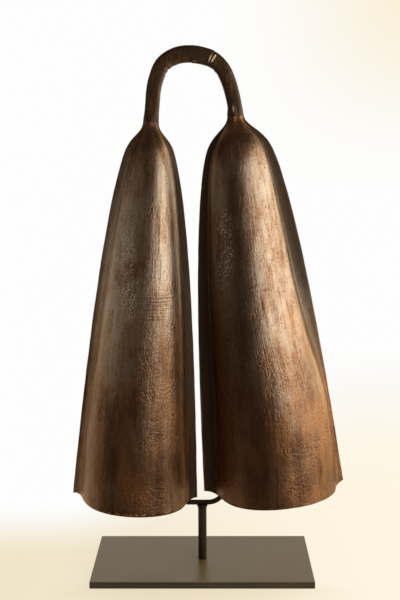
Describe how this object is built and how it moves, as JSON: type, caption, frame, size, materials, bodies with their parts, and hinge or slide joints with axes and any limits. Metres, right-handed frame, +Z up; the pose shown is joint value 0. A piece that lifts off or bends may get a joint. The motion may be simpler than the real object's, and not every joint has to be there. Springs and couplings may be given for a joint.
{
  "type": "double gong currency on a display stand",
  "caption": "Forged iron double gong of the kind kept as currency: flanged conical bells under an arched handle, lifted onto the fork of a black steel display stand.",
  "frame": {"origin": "on the table, at the middle of the stand's felt underside, under the axis of the post", "axes": "+Z up, +Y away from the viewer who faces the front of the gong, +X to that viewer's right"},
  "size_m": [0.379, 0.1524, 0.7206],
  "materials": {
    "bell_iron": "forged iron, dark brown patina with rust and tan rubs, satin",
    "handle_iron": "forged iron bar, darker brown, handled smooth",
    "black_steel": "black, satin",
    "sleeve_rubber": "matt black tube",
    "screw_steel": "plain steel",
    "black_felt": "pressed felt"
  },
  "bodies": {
    "gong": {"left_front_leaf": "bell_iron", "left_back_leaf": "bell_iron", "right_front_leaf": "bell_iron", "right_back_leaf": "bell_iron", "handle_left_arm": "handle_iron", "handle_right_arm": "handle_iron"},
    "stand": {"base_plate": "black_steel", "post": "black_steel", "cradle_fork": "black_steel", "left_prong_sleeve": "sleeve_rubber", "right_prong_sleeve": "sleeve_rubber", "base_screw": "screw_steel", "felt_pad": "black_felt"}
  },
  "joints": [
    {"name": "gong_lift", "type": "slide", "parent": "stand", "child": "gong", "axis": [0, 0, 1], "range_m": [0, 0.11]}
  ]
}
